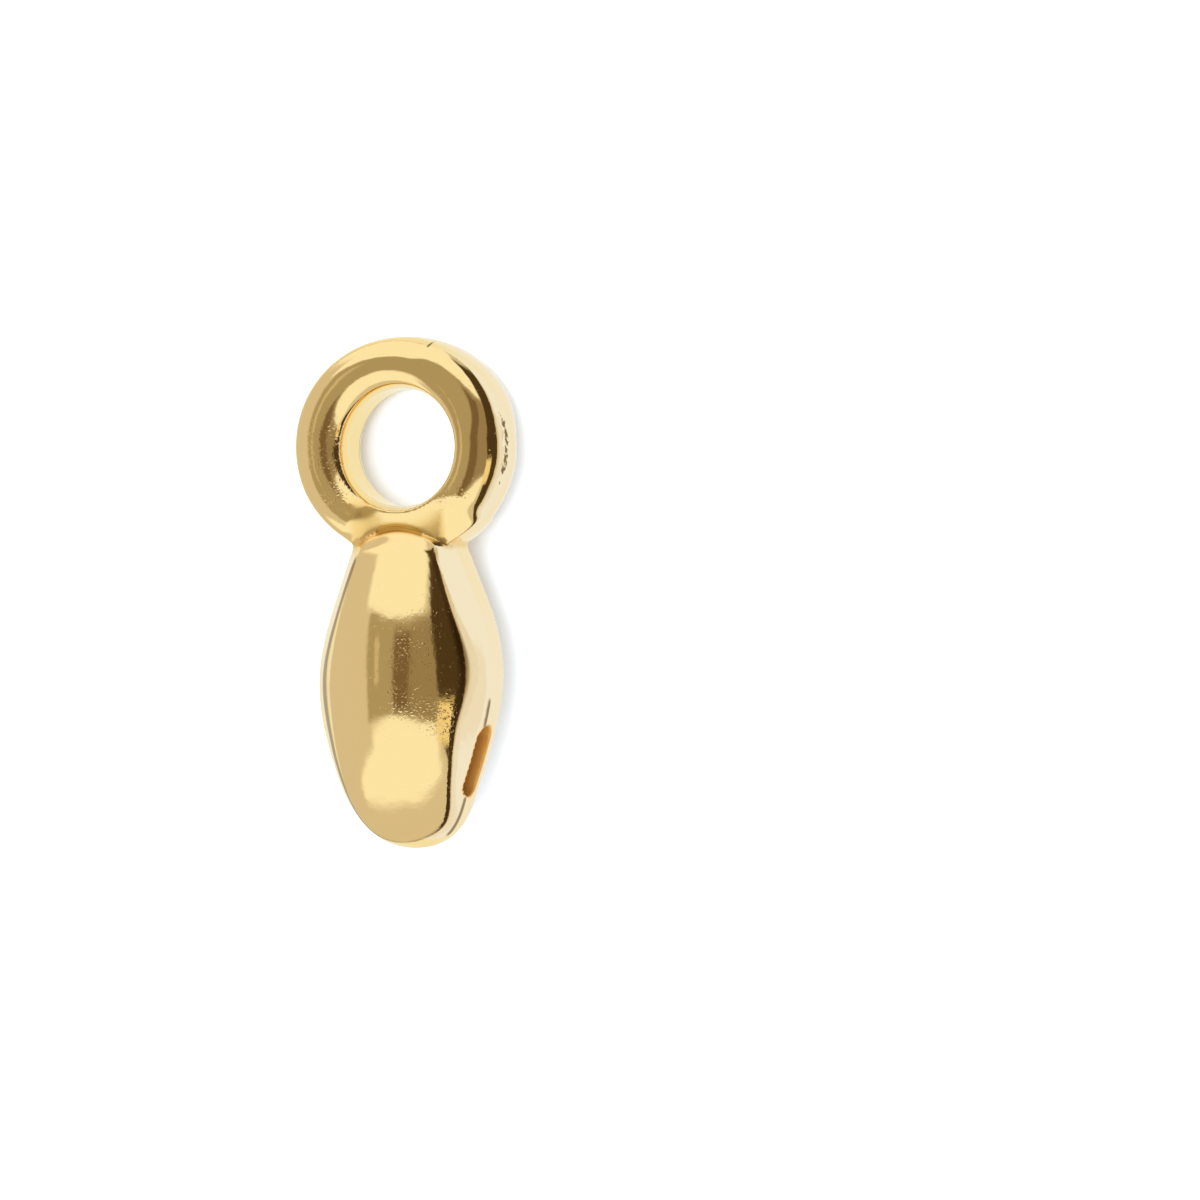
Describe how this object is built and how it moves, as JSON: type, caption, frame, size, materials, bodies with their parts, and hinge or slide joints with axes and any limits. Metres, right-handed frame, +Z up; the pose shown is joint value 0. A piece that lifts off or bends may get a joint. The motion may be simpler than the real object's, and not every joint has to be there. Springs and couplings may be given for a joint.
{
  "type": "jewellery end cap",
  "caption": "Gold-plated cast bead ending for a flat strap or bracelet: a domed oval pod drilled from side to side for thread, with a flat round loop for a jump ring.",
  "frame": {"origin": "middle of the space that the part takes up, at the height of the surface it lies on", "axes": "+Z up, +Y from the pod to the loop, X from side to side along the thread slot; the part lies on its back, leaning about 7 degrees towards the loop"},
  "size_m": [0.0034, 0.008, 0.0024],
  "materials": {
    "gold_plate": "bright gold plate over cast zinc alloy, polished, with fine casting pits"
  },
  "bodies": {
    "root": {"end_cap": "gold_plate"}
  },
  "joints": []
}
